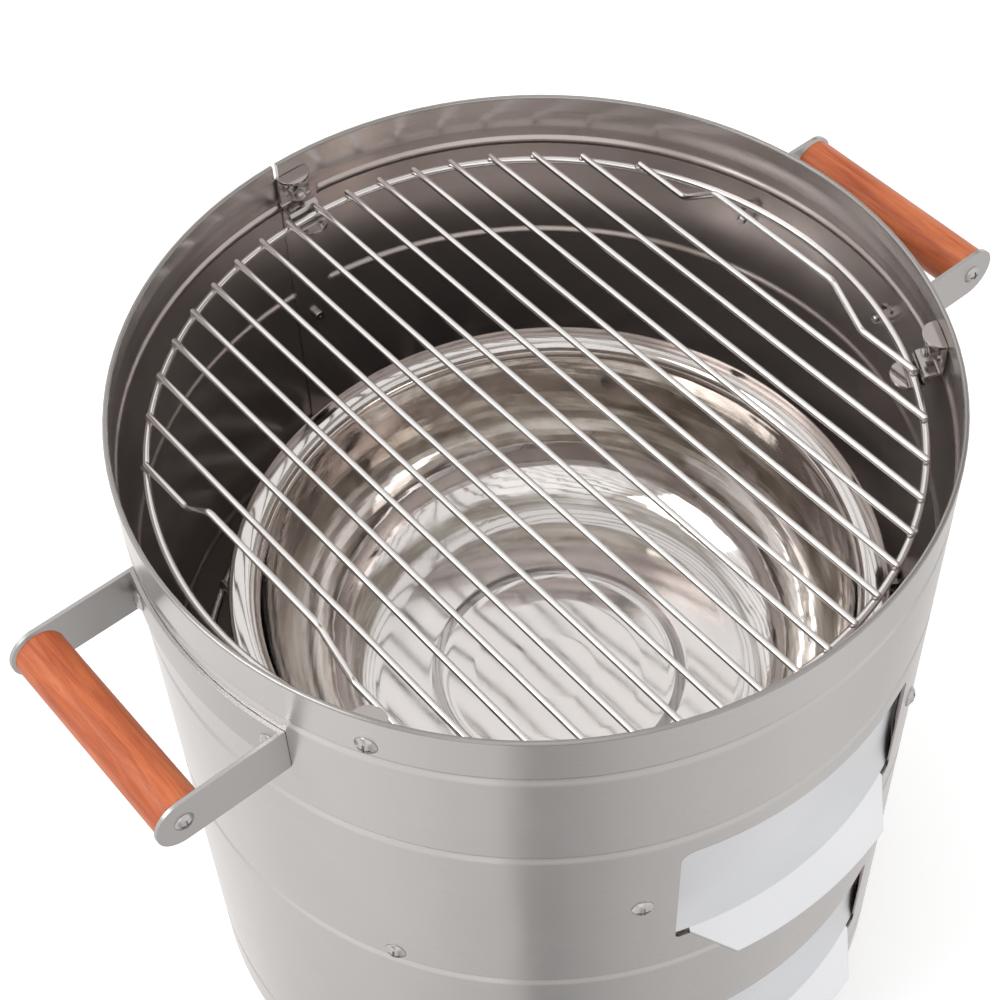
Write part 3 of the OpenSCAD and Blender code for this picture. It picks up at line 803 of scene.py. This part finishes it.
# ---------------------------------------------------------------- floor
def make_floor():
    """A wide pale sheet just under z = 0 that glows a little and isn't seen in the metal."""
    material, graph = new_material("pale_floor")
    mottle = graph.noise(graph.place(), scale=3.0)
    colour = graph.mix(mottle, (0.90, 0.90, 0.90), (0.93, 0.93, 0.93))
    matt = graph.add("BsdfDiffuse", {0: colour})
    glow = graph.add("Emission", {"Color": (1, 1, 1, 1), "Strength": 0.32})
    graph.finish(graph.add("AddShader", {0: matt, 1: glow}))
    half, z = 40.0, -0.0004
    mesh = bpy.data.meshes.new("floor")
    corners = [(-half, -half, z), (half, -half, z), (half, half, z), (-half, half, z)]
    mesh.from_pydata(corners, [], [(0, 1, 2, 3)])
    mesh.materials.append(material)
    floor = bpy.data.objects.new("floor", mesh)
    scene.collection.objects.link(floor)
    floor.visible_glossy = False


make_floor()

# ---------------------------------------------------------------- world
# What the upright wall sees: (azimuth in degrees from +X towards +Y, brightness).
HORIZON = [
    (100, 1.15), (120, 1.09), (132, 0.90), (146, 0.92), (168, 0.99), (182, 1.02), (194, 0.97),
    (206, 0.88), (222, 0.88), (226, 0.49), (236, 0.53), (252, 0.71), (264, 0.79), (276, 0.82),
    (300, 0.86), (312, 0.92), (330, 0.79), (348, 0.77), (0, 0.82), (12, 1.02), (24, 1.06),
    (45, 1.30), (70, 1.40)]
# Factor on it from straight down (0) to a little above level (1): (position, factor).
# The floor close under the part is in its shade, the far floor and the low walls are bright.
ELEVATION = [(0.0, 0.34), (0.045, 0.45), (0.09, 0.96), (0.30, 1.0), (0.55, 1.02),
             (0.72, 1.12), (0.85, 1.22), (1.0, 1.22)]
# Overhead soft boxes: (direction, cosine at the outer edge, cosine at the inner edge, brightness).
SOFT_BOXES = [
    ((0.387, 0.495, 0.777), 0.915, 0.955, 0.94),
    ((-0.50, -0.62, 0.60), 0.82, 0.91, 1.20),
    ((0.33, -0.83, 0.45), 0.80, 0.90, 0.96),
    ((-0.42, 0.72, 0.55), 0.86, 0.95, 1.15),
    ((0.20, 0.25, 0.947), 0.90, 0.955, 0.98)]


def warm(brightness):
    return (brightness, brightness * 0.985, brightness * 0.975)


def horizon_stops():
    """Ramp stops round the compass from -X to -X, where both ends meet."""
    stops = sorted(((degrees + 180) % 360 / 360, value) for degrees, value in HORIZON)
    first, last = stops[0], stops[-1]
    meeting = lerp(first[1], last[1], first[0] / (first[0] + 1 - last[0]))
    stops = [(0.0, meeting)] + stops + [(1.0, meeting)]
    return [(position, warm(value)) for position, value in stops]


def make_world():
    """White for the eye and for matt things; metal sees a plain studio: pale sweep below,
    soft boxes and dark gaps above."""
    world = bpy.data.worlds.new("studio")
    scene.world = world
    world.use_nodes = True
    graph = Graph(world.node_tree, "OutputWorld")
    view = graph.place("Generated")
    x, y, z = graph.separate(view)
    compass = y.math("ARCTAN2", x).remap(between=(-math.pi, math.pi))
    sweep = graph.mix(1.0, graph.ramp(compass, horizon_stops()),
                      graph.ramp(z.remap(between=(-1.0, 0.3)), ELEVATION), blend="MULTIPLY")

    # overhead: darker gaps and blurred shapes for the mirror bowl, then the soft boxes
    broad = graph.noise(graph.vector("SCALE", {0: view, "Scale": 1.0}), scale=2.0, distort=0.5)
    small = graph.noise(view, scale=6.0, distort=0.8)
    room = graph.ramp(broad * 0.75 + small * 0.25,
                      [(0.38, (0.22, 0.19, 0.155)), (0.47, (0.36, 0.33, 0.285)),
                       (0.54, (0.55, 0.52, 0.475)), (0.63, (0.95, 0.92, 0.89))])
    for direction, outer, inner, brightness in SOFT_BOXES:
        closeness = graph.vector("DOT_PRODUCT", {0: view, 1: direction}, output="Value")
        room = graph.mix(closeness.fade(between=(outer, inner)), room, warm(brightness))
    studio = graph.mix(z.fade(between=(0.06, 0.30)), sweep, room)

    def background(colour, strength):
        return graph.add("Background", {"Color": colour, "Strength": strength})

    def choose(ray, otherwise, chosen):
        is_ray = Value(graph, rays.outputs[ray])
        return graph.add("MixShader", {0: is_ray, 1: otherwise, 2: chosen})

    rays = graph.node("LightPath")
    white = (1, 1, 1, 1)
    lighting = choose("Is Glossy Ray", background(white, 0.72), background(studio, 1.0))
    graph.finish(choose("Is Camera Ray", lighting, background(white, 1.0)))


make_world()


# ---------------------------------------------------------------- lights and camera
def area_light(name, location, size, power, target=(0, 0, 0.2)):
    light = bpy.data.lights.new(name, "AREA")
    light.shape = "SQUARE"
    light.size = size
    light.energy = power
    lamp = bpy.data.objects.new(name, light)
    lamp.location = location
    lamp.rotation_mode = "QUATERNION"
    lamp.rotation_quaternion = (Vector(target) - Vector(location)).to_track_quat("-Z", "Y")
    scene.collection.objects.link(lamp)
    return lamp


area_light("soft_key", location=(-1.5, 0.5, 1.9), size=1.2, power=16.0)
top_light = area_light("soft_top", location=(0.3, 0.2, 2.4), size=1.6, power=12.0)
top_light.visible_glossy = False        # its reflection is painted in the world instead


def make_camera():
    camera = bpy.data.cameras.new("view")
    camera.sensor_width = 36.0
    camera.lens = 74.157
    camera.clip_start = 0.01
    camera.clip_end = 100.0
    right = Vector((0.766566, -0.641605, -0.026840))
    up = Vector((0.513813, 0.587742, 0.624945))
    forward = Vector((0.385193, 0.492852, -0.780208))
    pose = Matrix((right, up, -forward)).transposed().to_4x4()
    pose.translation = Vector((-0.409753, -0.495138, 0.710957 + RIM_Z))
    viewer = bpy.data.objects.new("view", camera)
    viewer.matrix_world = pose
    scene.collection.objects.link(viewer)
    scene.camera = viewer


make_camera()
scene.view_settings.view_transform = "Standard"
scene.view_settings.look = "None"
